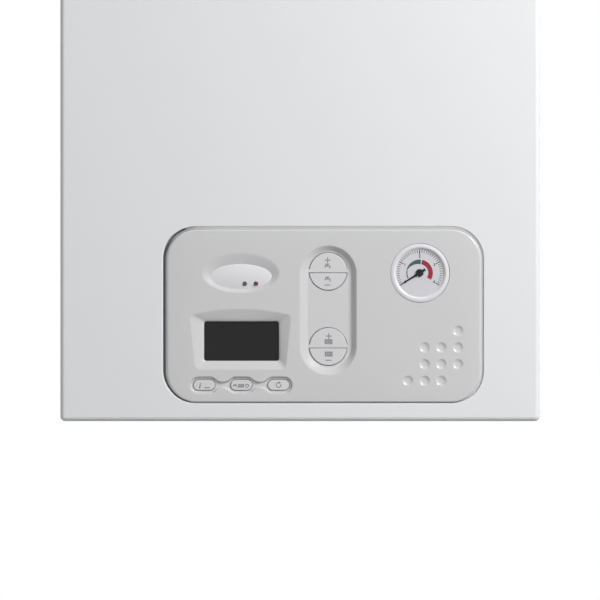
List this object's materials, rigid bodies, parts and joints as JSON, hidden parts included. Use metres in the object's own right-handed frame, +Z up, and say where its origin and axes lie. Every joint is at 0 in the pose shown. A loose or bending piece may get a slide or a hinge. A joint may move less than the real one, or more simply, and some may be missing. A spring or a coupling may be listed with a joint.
{
  "type": "gas boiler",
  "caption": "Wall-hung combination gas boiler: white sheet casing with a rounded grey control fascia, dark display, split round keys, pill keys and a pressure gauge.",
  "frame": {"origin": "middle of the lower edge of the flat back, on the wall plane", "axes": "+Z up, +X to the right seen from the front, +Y into the wall; the front faces -Y"},
  "size_m": [0.4, 0.2524, 0.7212],
  "materials": {
    "white_paint": "smooth semi-gloss white powder coat",
    "zinc_sheet": "zinc-coated sheet",
    "screw_steel": "bright zinc-plated steel",
    "aluminium": "plain cast or spun aluminium",
    "fascia_grey": "fine satin light grey moulding",
    "key_grey": "satin light grey moulding",
    "white_gloss": "glossy white plastic",
    "green_light": "green light guide",
    "red_light": "dark red light guide",
    "dark_window": "near-black glossy window",
    "display_block": "black plastic",
    "board": "green circuit board",
    "box_plastic": "grey flame-retardant plastic",
    "dial_print": "white printed dial",
    "pointer_black": "black plastic",
    "clear_lens": "clear plastic lens",
    "copper": "drawn copper",
    "brass": "machined brass",
    "steel": "stainless steel",
    "fibre": "white ceramic fibre board",
    "ceramic": "glazed ceramic with steel wire",
    "red_paint": "red painted steel",
    "cast_iron": "coated cast iron",
    "motor_paint": "dark painted motor housing",
    "wheel_plastic": "glass-filled plastic",
    "tap_blue": "blue moulded knob"
  },
  "bodies": {
    "boiler": {"air_collar": "aluminium", "badge_lens": "white_gloss", "bottom_plate": "zinc_sheet", "burner": "steel", "cable_gland": "display_block", "casing_screws": "screw_steel", "chamber_cover": "zinc_sheet", "cold_water_pipe": "copper", "combustion_box": "zinc_sheet", "control_board": "board", "control_box_cover": "box_plastic", "control_fascia": "fascia_grey", "display_module": "display_block", "display_window": "dark_window", "diverter_motor": "display_block", "diverter_valve": "brass", "electrodes": "ceramic", "expansion_vessel": "red_paint", "fan_housing": "aluminium", "fan_motor": "steel", "flow_pipe": "copper", "flue_hood": "zinc_sheet", "flue_outlet_pipe": "aluminium", "front_casing": "white_paint", "gas_manifold": "brass", "gas_pipe": "copper", "gas_valve": "aluminium", "gauge_capillary": "copper", "gauge_case": "white_gloss", "gauge_dial": "dial_print", "gauge_lens": "clear_lens", "green_led": "green_light", "heat_exchanger": "copper", "hot_water_pipe": "copper", "insulation_panels": "fibre", "key_switches": "display_block", "left_side_panel": "white_paint", "plate_exchanger": "steel", "pump_body": "cast_iron", "pump_motor": "motor_paint", "rear_frame": "zinc_sheet", "red_led": "red_light", "return_manifold": "brass", "return_pipe": "copper", "right_side_panel": "white_paint", "safety_valve": "brass", "sealed_chamber": "zinc_sheet", "top_plate": "zinc_sheet"},
    "hot_water_plus_button_body": {"hot_water_plus_button": "key_grey"},
    "hot_water_minus_button_body": {"hot_water_minus_button": "key_grey"},
    "heating_plus_button_body": {"heating_plus_button": "key_grey"},
    "heating_minus_button_body": {"heating_minus_button": "key_grey"},
    "info_button_body": {"info_button": "key_grey"},
    "mode_button_body": {"mode_button": "key_grey"},
    "reset_button_body": {"reset_button": "key_grey"},
    "gauge_pointer_body": {"gauge_pointer": "pointer_black"},
    "fan_impeller_body": {"fan_impeller": "steel"},
    "pump_impeller_body": {"pump_impeller": "wheel_plastic"},
    "diverter_stem_body": {"diverter_stem": "brass"},
    "filling_tap_knob_body": {"filling_tap_knob": "tap_blue"}
  },
  "joints": [
    {"name": "hot_water_plus_press", "type": "slide", "parent": "boiler", "child": "hot_water_plus_button_body", "axis": [0, 1, 0], "range_m": [0, 0.001], "stiffness_N_per_m": 100},
    {"name": "hot_water_minus_press", "type": "slide", "parent": "boiler", "child": "hot_water_minus_button_body", "axis": [0, 1, 0], "range_m": [0, 0.001], "stiffness_N_per_m": 100},
    {"name": "heating_plus_press", "type": "slide", "parent": "boiler", "child": "heating_plus_button_body", "axis": [0, 1, 0], "range_m": [0, 0.001], "stiffness_N_per_m": 100},
    {"name": "heating_minus_press", "type": "slide", "parent": "boiler", "child": "heating_minus_button_body", "axis": [0, 1, 0], "range_m": [0, 0.001], "stiffness_N_per_m": 100},
    {"name": "info_press", "type": "slide", "parent": "boiler", "child": "info_button_body", "axis": [0, 1, 0], "range_m": [0, 0.001], "stiffness_N_per_m": 100},
    {"name": "mode_press", "type": "slide", "parent": "boiler", "child": "mode_button_body", "axis": [0, 1, 0], "range_m": [0, 0.001], "stiffness_N_per_m": 100},
    {"name": "reset_press", "type": "slide", "parent": "boiler", "child": "reset_button_body", "axis": [0, 1, 0], "range_m": [0, 0.001], "stiffness_N_per_m": 100},
    {"name": "gauge_turn", "type": "hinge", "parent": "boiler", "child": "gauge_pointer_body", "pos_m": [0.0997, -0.25, 0.1237], "axis": [0, 1, 0], "range_deg": [0, 244], "stiffness_Nm_per_rad": 0.00001},
    {"name": "fan_spin", "type": "hinge", "parent": "boiler", "child": "fan_impeller_body", "pos_m": [-0.033, -0.15, 0.612], "axis": [0, 1, 0], "continuous": true},
    {"name": "pump_spin", "type": "hinge", "parent": "boiler", "child": "pump_impeller_body", "pos_m": [0.14, -0.103, 0.215], "axis": [0, 1, 0], "continuous": true},
    {"name": "diverter_shift", "type": "slide", "parent": "boiler", "child": "diverter_stem_body", "axis": [0, 1, 0], "range_m": [0, 0.008]},
    {"name": "filling_tap_turn", "type": "hinge", "parent": "boiler", "child": "filling_tap_knob_body", "pos_m": [0.105, -0.098, 0.02], "axis": [0, 0, -1], "range_deg": [0, 270]}
  ]
}
